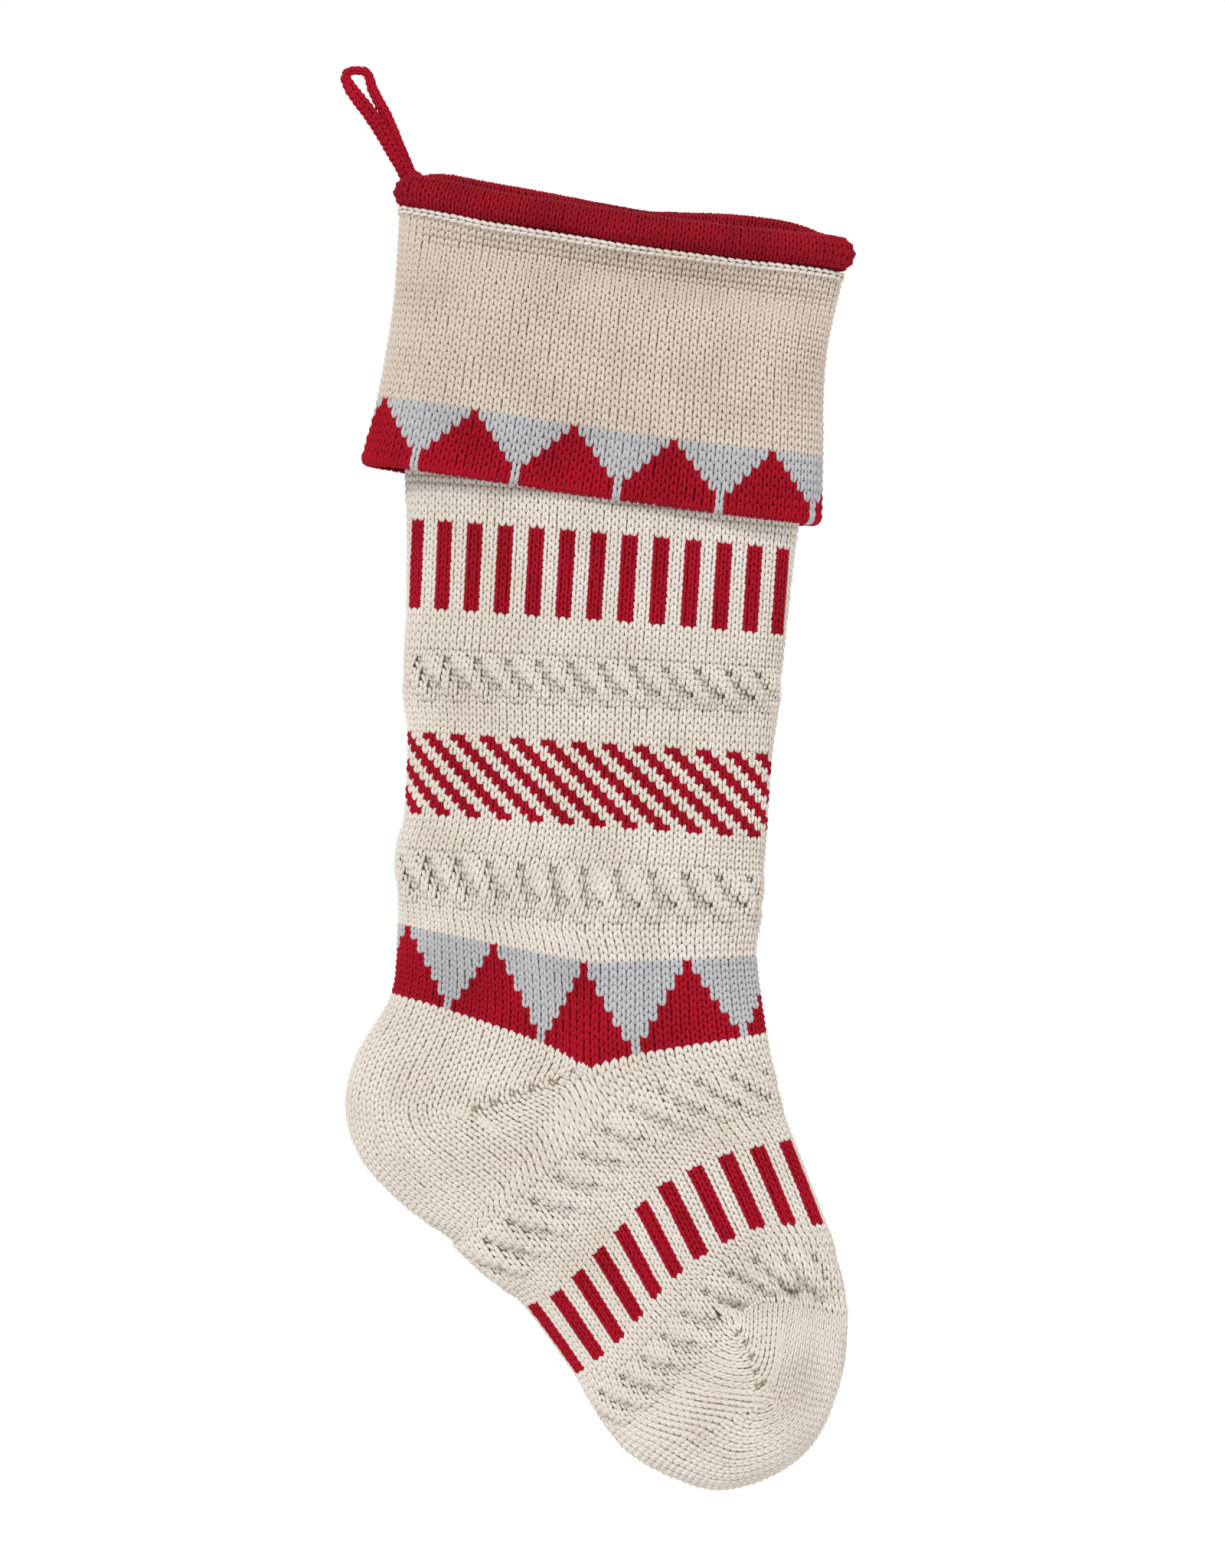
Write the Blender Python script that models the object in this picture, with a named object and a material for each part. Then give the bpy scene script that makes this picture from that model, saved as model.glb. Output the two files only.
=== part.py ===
"""Hanging stocking: a hand-knitted stocking with a turned-down cuff, hung by a folded cord loop.

Frame: metres, +Z up, +X towards the toe side, -Y is the front. The origin is the inside top of the
hanging loop, where it bears on a nail. The stocking is drawn flat in the XZ plane and softly filled:
every knitted section is a closed wall around one hollow that is open at the mouth.
"""

import math

import bmesh
import bpy
import numpy as np
from mathutils import Vector

MM = 0.001
GAP = 0.3 * MM  # between pieces that touch

# Knitted wall
WALL = 3.5 * MM
LEG_HALF_DEPTH = 18.0 * MM
CUFF_HALF_DEPTH = 22.6 * MM
EDGE_ROUNDING = 55.0 * MM  # how far in from the outline the side reaches its full depth

# Hanging loop: a cord folded into a narrow eye that leans away from the stocking
CORD_RADIUS = 2.2 * MM
EYE_RADIUS = 5.4 * MM
LOOP_FOOT_RADIUS = 2.9 * MM
LOOP_LENGTH = 31.0 * MM
LOOP_LEAN = math.radians(30)
TACK_RADIUS = 4.3 * MM
TACK_CENTRE = Vector((21.9, 0.0, -38.4)) * MM  # where both hinges of the loop's sewn foot meet

# Rim: a rolled binding round the mouth
RIM_RADIUS = 5.2 * MM
RIM_LEFT = Vector((21.0, 0.0, -49.2)) * MM
RIM_RIGHT = Vector((193.4, 0.0, -75.1)) * MM
RIM_HALF_DEPTH = 17.3 * MM
RIM_SQUARENESS = 2.6
RIM_BACK_LIFT = 3.6 * MM  # how far the back of the mouth stands above its front
RIM_POINTS = 44

# Share of a course, from the left edge to the gore and from the gore to the right edge
HEEL_SIDE_SHARES = (0.0, 0.03, 0.1, 0.22, 0.38, 0.54, 0.77, 1.0)
INSTEP_SIDE_SHARES = (0.25, 0.5, 0.74, 0.9, 0.97, 1.0)
GORE_SHARE = 0.56  # where a straight course divides into its heel side and its instep side
GORE_END = 0.54  # share of the heel side that turns freely round the end of a gore

# Courses of the leg: outline points of the knitting, left edge to right edge, as (x, z) in mm
LEG_COURSES = {
    "mouth": [(21.8, -55.4), (190.4, -81.2)],
    "under_cuff": [(20.6, -103.6), (181.8, -131.1)],
    "hem": [(19.6, -163.2), (177.9, -186.2)],
    "stripes_top": [(20.5, -178.8), (175.5, -191.1)],
    "stripes_end": [(20.2, -214.3), (171.8, -225.3)],
    "bobbles_a_top": [(19.6, -230.8), (170.3, -238.8)],
    "bobbles_a_end": [(19.3, -251.6), (168.7, -256.5)],
    "diagonal_top": [(20.8, -264.1), (166.3, -273.3)],
    "diagonal_end": [(19.6, -296.8), (163.9, -306.9)],
    "bobbles_b_top": [(16.2, -310.9), (162.9, -320.1)],
    "bobbles_b_end": [(16.8, -332.3), (161.7, -336.6)],
    "zigzag_top": [(16.8, -341.5), (92.6, -356.8), (159.9, -354.9)],
    "zigzag_end": [(14.4, -369.6), (34.5, -374.8), (73.7, -388.2), (92.6, -398.6), (115.9, -392.5), (163.9, -385.5)],
}
# Where a course's gore point stands in its list, when it isn't at GORE_SHARE
GORE_POINT = {"zigzag_top": 1, "zigzag_end": 3}

HEEL_END = [(38.5, -468.6), (53.8, -449.1), (72.1, -424.6), (92.6, -398.6)]
HEEL_EDGE = [(0.6, -394.0), (-4.3, -416.1), (2.2, -436.4), (19.4, -455.0)]
HEEL_GORE_END = (44.3, -415.8)

# Courses of the foot: sole edge, three points to the gore and two or more to the instep edge
FOOT_COURSES = {
    "bobbles_c_top": [(40.4, -472.4), (53.8, -460.7), (81.3, -436.8), (101.8, -417.0), (120.4, -403.8), (166.3, -397.7)],
    "bobbles_c_end": [(58.4, -488.2), (74.6, -476.6), (93.5, -458.2), (113.4, -436.8), (134.8, -424.0), (170.6, -416.1)],
    "bars_top": [(67.9, -495.5), (80.4, -488.8), (98.7, -469.6), (120.4, -446.3), (145.8, -434.1), (174.9, -428.3)],
    "bars_end": [(88.0, -523.1), (105.5, -507.8), (122.0, -487.9), (135.4, -475.1), (160.8, -462.8), (188.3, -462.5)],
    "bobbles_d_top": [(91.7, -529.8), (110.7, -514.8), (127.2, -495.5), (140.9, -481.2), (163.9, -469.9), (191.4, -471.1)],
    "toe_top": [(102.7, -546.9), (118.0, -534.1), (137.0, -516.3), (152.2, -499.5), (166.9, -492.8), (197.2, -499.2)],
}
FOOT_GORE_POINT = 3
TOE_EDGE = [(111.8, -555.6), (127.0, -564.0), (145.8, -569.2), (167.6, -563.4), (184.4, -549.4), (194.6, -524.2)]
TOE_GORE_END = (164.2, -529.8)

CUFF_COURSES = {
    "cuff_top": [(17.2, -56.4), (195.6, -83.2)],
    "cuff_waist": [(15.0, -91.4), (189.6, -111.3)],
    "cuff_band": [(9.2, -126.3), (186.0, -152.5)],
    "cuff_hem": [(2.4, -154.7), (187.7, -181.3)],
}

# Knitted sections as (name, courses from first to last, colour)
CREAM = (0.66, 0.58, 0.50)
RED = (0.34, 0.008, 0.025)
DARK_RED = (0.16, 0.006, 0.014)
GREY = (0.50, 0.50, 0.53)
LEG_SECTIONS = [
    ("leg_top", ["mouth", "under_cuff", "hem", "stripes_top"], CREAM),
    ("leg_stripes", ["stripes_top", "stripes_end"], RED),
    ("leg_plain_a", ["stripes_end", "bobbles_a_top"], CREAM),
    ("leg_bobbles_a", ["bobbles_a_top", "bobbles_a_end"], CREAM),
    ("leg_plain_b", ["bobbles_a_end", "diagonal_top"], CREAM),
    ("leg_diagonal", ["diagonal_top", "diagonal_end"], RED),
    ("leg_plain_c", ["diagonal_end", "bobbles_b_top"], CREAM),
    ("leg_bobbles_b", ["bobbles_b_top", "bobbles_b_end"], CREAM),
    ("leg_plain_d", ["bobbles_b_end", "zigzag_top"], CREAM),
    ("leg_zigzag", ["zigzag_top", "zigzag_end"], GREY),
]
FOOT_SECTIONS = [
    ("foot_plain_a", ["heel_to_foot", "bobbles_c_top"], CREAM),
    ("foot_bobbles_a", ["bobbles_c_top", "bobbles_c_end"], CREAM),
    ("foot_plain_b", ["bobbles_c_end", "bars_top"], CREAM),
    ("foot_stripes", ["bars_top", "bars_end"], RED),
    ("foot_plain_c", ["bars_end", "bobbles_d_top"], CREAM),
    ("foot_bobbles_b", ["bobbles_d_top", "toe_top"], CREAM),
]
CUFF_SECTIONS = [
    ("cuff_panel", ["cuff_top", "cuff_waist", "cuff_band"], CREAM),
    ("cuff_zigzag", ["cuff_band", "cuff_hem"], GREY),
]


def clear_scene():
    for thing in list(bpy.data.objects):
        bpy.data.objects.remove(thing)


def new_collection(name):
    collection = bpy.data.collections.new(name)
    bpy.context.scene.collection.children.link(collection)
    return collection


def wool(name, colour):
    material = bpy.data.materials.new(name)
    material.use_nodes = True
    shader = material.node_tree.nodes["Principled BSDF"]
    shader.inputs["Base Color"].default_value = (*colour, 1.0)
    shader.inputs["Roughness"].default_value = 0.9
    shader.inputs["Metallic"].default_value = 0.0
    return material


def add_object(name, data, collection, colour):
    thing = bpy.data.objects.new(name, data)
    thing.data.materials.append(wool(name + "_wool", colour))
    collection.objects.link(thing)
    return thing


# Courses -------------------------------------------------------------------------------------------


def smooth_line(points, steps=12):
    """A Catmull-Rom line through points, as an array of (x, z) in metres."""
    points = np.array(points, float) * MM
    ends = np.vstack([2 * points[0] - points[1], points, 2 * points[-1] - points[-2]])
    line = [points[0]]
    for a, b, c, d in zip(ends, ends[1:], ends[2:], ends[3:]):
        for step in range(1, steps + 1):
            t = step / steps
            line.append(0.5 * (2 * b + (c - a) * t + (2 * a - 5 * b + 4 * c - d) * t**2 + (3 * b - a - 3 * c + d) * t**3))
    return np.array(line)


def along(line, shares):
    """Points at these shares of a line's length."""
    lengths = np.concatenate([[0], np.cumsum(np.linalg.norm(np.diff(line, axis=0), axis=1))])
    wanted = np.array(shares) * lengths[-1]
    return np.stack([np.interp(wanted, lengths, line[:, k]) for k in (0, 1)], axis=1)


def course(points, gore_point=None):
    """A course's points: the heel side from the left edge to the gore, then the instep side."""
    if gore_point is None:
        line = smooth_line(points)
        shares = [GORE_SHARE * s for s in HEEL_SIDE_SHARES]
        shares += [GORE_SHARE + (1 - GORE_SHARE) * s for s in INSTEP_SIDE_SHARES]
        return along(line, shares)
    heel_side = along(smooth_line(points[: gore_point + 1]), HEEL_SIDE_SHARES)
    instep_side = along(smooth_line(points[gore_point:]), INSTEP_SIDE_SHARES)
    return np.vstack([heel_side, instep_side])


def all_courses():
    courses = {name: course(points, GORE_POINT.get(name)) for name, points in LEG_COURSES.items()}
    courses.update({name: course(points, FOOT_GORE_POINT) for name, points in FOOT_COURSES.items()})
    courses.update({name: course(points) for name, points in CUFF_COURSES.items()})
    heel_end = along(smooth_line(HEEL_END), HEEL_SIDE_SHARES)
    instep = courses["zigzag_end"][len(HEEL_SIDE_SHARES):]
    courses["heel_to_foot"] = np.vstack([heel_end, instep])
    return courses


def body_outline(courses):
    """The stocking's outline below its mouth: down the heel side, round the toe and up the instep side."""
    leg = [courses[name] for name in LEG_COURSES]
    foot = [courses["heel_to_foot"]] + [courses[name] for name in FOOT_COURSES]
    heel_side = [c[0] for c in leg] + list(np.array(HEEL_EDGE) * MM) + [c[0] for c in foot]
    instep_side = [c[-1] for c in leg + foot[1:]]
    return np.array(heel_side + list(np.array(TOE_EDGE) * MM) + instep_side[::-1])


def cuff_outlines(courses):
    """The cuff's two edges, the left one downwards and the right one upwards."""
    sections = [courses[name] for name in CUFF_COURSES]
    return [np.array([c[0] for c in sections]), np.array([c[-1] for c in sections[::-1]])]


# Walls ---------------------------------------------------------------------------------------------


def inward_normals(outline):
    """The direction into the piece at each point of an outline that runs with the piece on its left."""
    edges = np.diff(outline, axis=0)
    edges /= np.linalg.norm(edges, axis=1)[:, None]
    turned = np.stack([-edges[:, 1], edges[:, 0]], axis=1)
    normals = np.vstack([turned[:1], turned[:-1] + turned[1:], turned[-1:]])
    return normals / np.linalg.norm(normals, axis=1)[:, None]


def nearest(point, outlines):
    """The distance to the nearest outline and the direction into the piece there."""
    found = []
    for outline in outlines:
        a, b = outline[:-1], outline[1:]
        t = np.clip(((point - a) * (b - a)).sum(1) / ((b - a) ** 2).sum(1), 0, 1)
        distance = np.linalg.norm(point - (a + t[:, None] * (b - a)), axis=1)
        k = int(distance.argmin())
        normals = inward_normals(outline)
        inward = normals[k] + (normals[k + 1] - normals[k]) * t[k]
        found.append((float(distance[k]), inward / np.linalg.norm(inward)))
    return min(found, key=lambda f: f[0])


def wall_point(point, side, outlines, half_depth):
    """A point of the outer skin and its outward normal. Side is -1 at the front, 1 at the back, 0 on the edge."""
    distance, inward = nearest(point, outlines)
    share = 1 - min(distance / EDGE_ROUNDING, 1)
    depth = half_depth * math.sqrt(max(1 - share**2, 0)) if side else 0.0
    slope = half_depth**2 * share / EDGE_ROUNDING
    normal = Vector((-slope * inward[0], side * depth, -slope * inward[1])).normalized()
    return Vector((point[0], side * depth, point[1])), normal


def mouth_lift(x):
    """How far the back of the mouth stands above its front, at this x."""
    across = (2 * x - RIM_LEFT.x - RIM_RIGHT.x) / (RIM_RIGHT.x - RIM_LEFT.x)
    return RIM_BACK_LIFT * max(1 - across**2, 0)


def rings_between(first, last, divisions):
    """Rows of points from one course to the next, kept half a gap inside both."""
    length = np.linalg.norm(last - first, axis=1)[:, None]
    inset = np.minimum(0.5 * GAP / np.maximum(length, 1e-9), 0.45)
    return [first + (last - first) * (inset + (1 - 2 * inset) * k / divisions) for k in range(divisions + 1)]


def section_rows(names, courses):
    """All rows of a section, whose inner courses are kept as rows."""
    rows = []
    for a, b in zip(names, names[1:]):
        ends = rings_between(courses[a], courses[b], 1)
        if rows:
            rows[-1] = courses[a]
        rows += ends if not rows else ends[1:]
    return rows


def close_wall(name, cells, collection, colour):
    """Builds a wall of even thickness on the open skin given by cells of (outer point, normal)."""
    mesh = bmesh.new()
    normals = {}

    def corner(cell):
        key = tuple(round(x / 1e-6) for x in cell[0])
        if key not in normals:
            normals[key] = (mesh.verts.new(cell[0]), cell[1])
        return key

    loops = []
    for cell in cells:
        keys = list(dict.fromkeys(corner(c) for c in cell))
        if len(keys) > 2:
            loops.append(keys)
            mesh.faces.new([normals[k][0] for k in keys])
    rim = [edge for edge in mesh.edges if len(edge.link_faces) == 1]
    inner = {normals[k][0]: mesh.verts.new(normals[k][0].co - WALL * normals[k][1]) for k in normals}
    for keys in loops:
        mesh.faces.new([inner[normals[k][0]] for k in reversed(keys)])
    for edge in rim:
        a, b = edge.verts
        mesh.faces.new([a, b, inner[b], inner[a]])
    bmesh.ops.recalc_face_normals(mesh, faces=mesh.faces)
    data = bpy.data.meshes.new(name)
    mesh.to_mesh(data)
    mesh.free()
    thing = add_object(name, data, collection, colour)
    data.shade_smooth()
    data.set_sharp_from_angle(angle=math.radians(40))
    return thing


def tube_section(name, rows, outlines, half_depth, collection, colour, at_mouth=False):
    """A section knitted in the round: rows of points, each a closed ring round the hollow."""
    rings = []
    for row in rows:
        last = len(row) - 1
        front = [wall_point(p, 0 if k in (0, last) else -1, outlines, half_depth) for k, p in enumerate(row)]
        back = [wall_point(p, 1, outlines, half_depth) for p in row[1:-1]]
        if at_mouth and not rings:
            back = [(point + Vector((0, 0, mouth_lift(point.x))), normal) for point, normal in back]
        rings.append(front + back[::-1])
    cells = []
    for upper, lower in zip(rings, rings[1:]):
        for k in range(len(upper)):
            n = (k + 1) % len(upper)
            cells.append([upper[k], lower[k], lower[n], upper[n]])
    return close_wall(name, cells, collection, colour)


def cup_section(name, first, edge, gore_end, last, outlines, collection, colour):
    """A short-row cup, such as a heel: its wales turn round the end of a gore on each face."""
    gore_start = first[-1]
    gore_end = np.array(gore_end) * MM
    tip = gore_start + (gore_end - gore_start) * (2 * GAP / np.linalg.norm(gore_end - gore_start))

    def fan(edge_point):
        row = []
        for share in HEEL_SIDE_SHARES:
            if share <= GORE_END:
                row.append(edge_point + (gore_end - edge_point) * share / GORE_END)
            else:
                row.append(gore_end + (tip - gore_end) * (share - GORE_END) / (1 - GORE_END))
        return np.array(row)

    turning = [fan(np.array(p) * MM) for p in edge]
    rows = [rings_between(first, turning[0], 1)[0], *turning, rings_between(turning[-1], last, 1)[1]]
    for row in (rows[0], rows[-1]):
        row[-1] = tip
    cells = []
    for side in (-1, 1):
        skin = [[wall_point(p, side if k else 0, outlines, LEG_HALF_DEPTH) for k, p in enumerate(row)] for row in rows]
        for upper, lower in zip(skin, skin[1:]):
            for k in range(len(upper) - 1):
                cell = [upper[k], lower[k], lower[k + 1], upper[k + 1]]
                cells.append(cell if side < 0 else cell[::-1])
    return close_wall(name, cells, collection, colour)


# Round pieces --------------------------------------------------------------------------------------


def closed_cord(name, points, radius, sides, collection, colour):
    """A closed ring of cord through points, as a curve with a round section."""
    curve = bpy.data.curves.new(name, "CURVE")
    curve.dimensions = "3D"
    curve.bevel_depth = radius
    curve.bevel_resolution = sides
    spline = curve.splines.new("POLY")
    spline.points.add(len(points) - 1)
    for place, point in zip(spline.points, points):
        place.co = (*point, 1.0)
    spline.use_cyclic_u = True
    return add_object(name, curve, collection, colour)


def loop_points():
    """The hanging loop's centre line: a round eye whose two strands run down to its sewn foot."""
    eye = Vector((math.sin(math.radians(12)) * EYE_RADIUS, 0.0, -(EYE_RADIUS - CORD_RADIUS)))
    down = Vector((math.sin(LOOP_LEAN), 0.0, -math.cos(LOOP_LEAN)))
    across = Vector((-down.z, 0.0, down.x))
    foot = eye + down * LOOP_LENGTH
    eye_turns = [math.radians(a) for a in range(0, 181, 20)]
    foot_turns = [math.radians(a) for a in range(0, 181, 36)]
    points = [eye + EYE_RADIUS * (across * math.cos(a) - down * math.sin(a)) for a in eye_turns]
    strand = [k / 7 for k in range(1, 7)]
    left = [(eye - across * EYE_RADIUS).lerp(foot - across * LOOP_FOOT_RADIUS, s) for s in strand]
    bottom = [foot + LOOP_FOOT_RADIUS * (down * math.sin(a) - across * math.cos(a)) for a in foot_turns]
    right = [(foot + across * LOOP_FOOT_RADIUS).lerp(eye + across * EYE_RADIUS, s) for s in strand]
    return points + left + bottom + right


def rim_points():
    """The mouth's closed line: the front dips a little below the back between the two corners."""
    middle = (RIM_LEFT + RIM_RIGHT) / 2
    half_width = (RIM_RIGHT.x - RIM_LEFT.x) / 2
    fall = (RIM_RIGHT.z - RIM_LEFT.z) / (RIM_RIGHT.x - RIM_LEFT.x)
    power = 2 / RIM_SQUARENESS
    points = []
    for k in range(RIM_POINTS):
        turn = 2 * math.pi * (k + 0.5) / RIM_POINTS
        across = math.copysign(abs(math.cos(turn)) ** power, math.cos(turn))
        depth = math.copysign(abs(math.sin(turn)) ** power, math.sin(turn))
        x = middle.x + half_width * across
        z = middle.z + fall * (x - middle.x) + max(depth, 0.0) * mouth_lift(x)
        points.append(Vector((x, RIM_HALF_DEPTH * depth, z)))
    return points


def build_loop(collection):
    closed_cord("hanging_loop", loop_points(), CORD_RADIUS, 2, collection, RED)
    bpy.ops.mesh.primitive_uv_sphere_add(segments=16, ring_count=10, radius=TACK_RADIUS, location=TACK_CENTRE)
    tack = bpy.context.object
    tack.name = "loop_tack"
    tack.data.materials.append(wool("loop_tack_wool", DARK_RED))
    tack.data.shade_smooth()
    for owner in list(tack.users_collection):
        owner.objects.unlink(tack)
    collection.objects.link(tack)


def build_rim(collection):
    closed_cord("rim_binding", rim_points(), RIM_RADIUS, 2, collection, DARK_RED)


def build_cuff(courses, collection):
    outlines = cuff_outlines(courses)
    for name, names, colour in CUFF_SECTIONS:
        rows = section_rows(names, courses)
        tube_section(name, rows, outlines, CUFF_HALF_DEPTH, collection, colour, names[0] == "cuff_top")


def build_leg_and_foot(courses, outline, collection):
    for name, names, colour in LEG_SECTIONS + FOOT_SECTIONS:
        rows = section_rows(names, courses)
        tube_section(name, rows, [outline], LEG_HALF_DEPTH, collection, colour, names[0] == "mouth")


def build_heel(courses, outline, collection):
    heel_side = len(HEEL_SIDE_SHARES)
    first = courses["zigzag_end"][:heel_side]
    last = courses["heel_to_foot"][:heel_side]
    cup_section("heel", first, HEEL_EDGE, HEEL_GORE_END, last, [outline], collection, CREAM)


def build_toe(courses, outline, collection):
    """The toe cup joins the sole side of the last course to its instep side, where it is grafted."""
    heel_side = len(HEEL_SIDE_SHARES)
    first = courses["toe_top"][:heel_side]
    instep = courses["toe_top"][heel_side - 1:]
    last = along(instep[::-1], HEEL_SIDE_SHARES)
    cup_section("toe", first, TOE_EDGE, TOE_GORE_END, last, [outline], collection, CREAM)


def main():
    clear_scene()
    collection = new_collection("hanging_stocking")
    courses = all_courses()
    outline = body_outline(courses)
    build_loop(collection)
    build_rim(collection)
    build_cuff(courses, collection)
    build_leg_and_foot(courses, outline, collection)
    build_heel(courses, outline, collection)
    build_toe(courses, outline, collection)


main()
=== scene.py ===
"""Looks of the hanging stocking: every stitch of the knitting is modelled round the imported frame.

The knitting follows wales, the columns of stitches, from the rim to the toe. Wales run over the leg in
straight columns, turn round a gore at the heel, cross the foot and turn again round the toe, where they
meet the instep's wales at the graft. Front and back are knitted alike.
"""

import math

import bpy
import numpy as np
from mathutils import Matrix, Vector
from mathutils.kdtree import KDTree


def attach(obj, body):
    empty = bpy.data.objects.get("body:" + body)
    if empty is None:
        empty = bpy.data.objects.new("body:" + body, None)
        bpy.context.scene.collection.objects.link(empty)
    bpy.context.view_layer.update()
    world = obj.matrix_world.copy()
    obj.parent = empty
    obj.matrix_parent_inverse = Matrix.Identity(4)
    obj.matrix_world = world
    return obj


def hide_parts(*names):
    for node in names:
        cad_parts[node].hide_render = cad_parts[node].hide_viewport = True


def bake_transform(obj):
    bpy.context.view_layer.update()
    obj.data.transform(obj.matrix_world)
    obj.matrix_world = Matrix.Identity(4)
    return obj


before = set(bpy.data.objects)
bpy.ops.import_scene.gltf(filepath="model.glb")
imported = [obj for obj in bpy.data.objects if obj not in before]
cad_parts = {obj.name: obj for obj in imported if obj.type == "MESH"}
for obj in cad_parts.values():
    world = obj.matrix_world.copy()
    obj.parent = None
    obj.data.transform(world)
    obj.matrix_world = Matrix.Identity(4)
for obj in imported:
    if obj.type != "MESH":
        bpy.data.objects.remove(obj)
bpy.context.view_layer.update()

MM = 0.001
RANDOM = np.random.default_rng(7)

# Sizes that part.py shares
LEG_HALF_DEPTH = 18.0 * MM
CUFF_HALF_DEPTH = 22.6 * MM
EDGE_ROUNDING = 64.0 * MM

# Rim: its centre line's corners in the XZ plane, then tables of (share from left to right, height in mm)
RIM_LEFT, RIM_RIGHT = (22.5 * MM, -49.0 * MM), (192.5 * MM, -74.2 * MM)
RIM_SAG = [(0, 2.2), (0.08, 1.2), (0.2, -0.6), (0.4, -1.2), (0.55, -1.2), (0.74, -0.6), (0.88, 0.8), (1, 2.6)]
RIM_BACK_LIFT = [(0, 0), (0.05, 6.4), (0.15, 7.3), (0.3, 6.7), (0.45, 5.3), (0.55, 4.5), (0.62, 5.8),
                 (0.75, 8.6), (0.88, 8.8), (0.95, 5.4), (1, 0)]
BACK_LIFT_FADE = 45 * MM  # how far below the rim the back's lift ends
RIM_HALF_DEPTH, RIM_SQUARENESS = 14.6 * MM, 2.6
PINCH_SHARE, PINCH_WIDTH, PINCH = 0.55, 0.11, 0.35  # where the back of the mouth leans towards the front
MOUTH_DEPTH, MOUTH_TAPER = 0.78, 32 * MM  # share of the full depth at the mouth, and how soon it fills out
ROLL_WIDTH, ROLL_HEIGHT = 6.4 * MM, 6.2 * MM  # half the rolled rim's section

# Knitting
WALES = 54  # on each face at the top of the leg
HEEL_WALES = 30  # of those, the ones that run to the heel
ROW = 2.8 * MM  # a stitch's length where short rows fill a section
# The last yarn is the cream made darker and warmer: painted shade over the whole cuff
CREAM, RED, GREY, RIM_RED, CORD_RED, SHADED_CUFF_CREAM = range(6)
FRONT, BACK = -1, 1
WALE_STEPS = 12  # points on a wale from one level to the next
FACE_SHARES = np.linspace(0, 1, 41)  # even steps along part of a level
GORE_SHARE = HEEL_WALES / WALES
GORE_END = 0.54  # share of the heel side that turns freely round the end of a gore
DROPPED = 0.35  # how far, in wales, a wale's middle may lie past a narrowed edge before the wale ends
# Levels of the leg and foot: lines of (x, z) in mm from the heel side's edge to the instep's edge
LEVELS = {
    "mouth": [(24.0, -55.4), (188.8, -81.2)],
    "under_cuff": [(20.2, -138.0), (180.5, -151.0)],
    "hem": [(19.8, -163.2), (177.9, -175.5)],
    "stripes_top": [(20.5, -178.8), (175.5, -191.1)],
    "stripes_end": [(20.2, -214.3), (171.8, -225.3)],
    "bobbles_a_top": [(19.6, -230.8), (170.3, -238.8)],
    "bobbles_a_end": [(19.3, -251.6), (168.7, -256.5)],
    "diagonal_top": [(20.8, -264.1), (166.3, -273.3)],
    "diagonal_end": [(19.6, -296.8), (163.9, -306.9)],
    "bobbles_b_top": [(16.2, -310.9), (162.9, -320.1)],
    "bobbles_b_end": [(16.8, -332.3), (90.0, -341.0), (161.7, -340.0)],
    "zigzag_top": [(16.8, -341.5), (92.6, -356.8), (159.9, -354.9)],
    "zigzag_end": [(14.4, -369.6), (34.5, -374.8), (73.7, -388.2), (92.6, -398.6), (115.9, -392.5),
                   (163.9, -385.5)],
    "heel_to_foot": [(38.5, -468.6), (53.8, -449.1), (72.1, -424.6), (92.6, -398.6)],
    "bobbles_c_top": [(40.4, -472.4), (53.8, -460.7), (81.3, -436.8), (101.8, -417.0), (120.4, -403.8),
                      (166.3, -397.7)],
    "bobbles_c_end": [(58.4, -488.2), (74.6, -476.6), (93.5, -458.2), (113.4, -436.8), (134.8, -424.0),
                      (170.6, -416.1)],
    "bars_top": [(67.9, -495.5), (80.4, -488.8), (98.7, -469.6), (120.4, -446.3), (145.8, -434.1),
                 (174.9, -428.3)],
    "bars_end": [(88.0, -523.1), (105.5, -507.8), (122.0, -487.9), (135.4, -475.1), (160.8, -462.8),
                 (188.3, -462.5)],
    "bobbles_d_top": [(91.7, -529.8), (110.7, -514.8), (127.2, -495.5), (140.9, -481.2), (163.9, -469.9),
                      (191.4, -471.1)],
    "toe_top": [(102.7, -546.9), (118.0, -534.1), (137.0, -516.3), (152.2, -499.5), (166.9, -492.8),
                (197.2, -499.2)],
}
# Which point of a level its gore starts from; the other levels split at GORE_SHARE
GORE_POINT = {"bobbles_b_end": 1, "zigzag_top": 1, "zigzag_end": 3, "heel_to_foot": 3, "bobbles_c_top": 3,
              "bobbles_c_end": 3, "bars_top": 3, "bars_end": 3, "bobbles_d_top": 3, "toe_top": 3}
# Short-row fans: the outer ends of their rays, and the point that the rays run to
HEEL_EDGE = [(0.6, -394.0), (-4.3, -416.1), (2.2, -436.4), (19.4, -455.0)]
HEEL_GORE_END = (44.3, -415.8)
TOE_EDGE = [(111.8, -555.6), (127.0, -564.0), (145.8, -569.2), (167.6, -563.4), (184.4, -549.4),
            (194.6, -524.2)]
TOE_GORE_END = (164.2, -529.8)
# Wales lost by each edge of a face at a level: the stocking narrows towards the foot
DECREASES = {"stripes_top": 0.4, "stripes_end": 1.0, "bobbles_a_top": 1.2, "bobbles_a_end": 1.4,
             "diagonal_top": 1.7, "diagonal_end": 2.4, "bobbles_b_top": 2.6, "bobbles_b_end": 3.0,
             "zigzag_top": 3.0, "zigzag_end": 3.0, "heel": 3.0, "heel_to_foot": 3.0, "bobbles_c_top": 3.4,
             "bobbles_c_end": 4.2, "bars_top": 5.0, "bars_end": 5.0, "bobbles_d_top": 5.0, "toe_top": 5.0,
             "toe": 5.0, "graft": 5.0}
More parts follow.
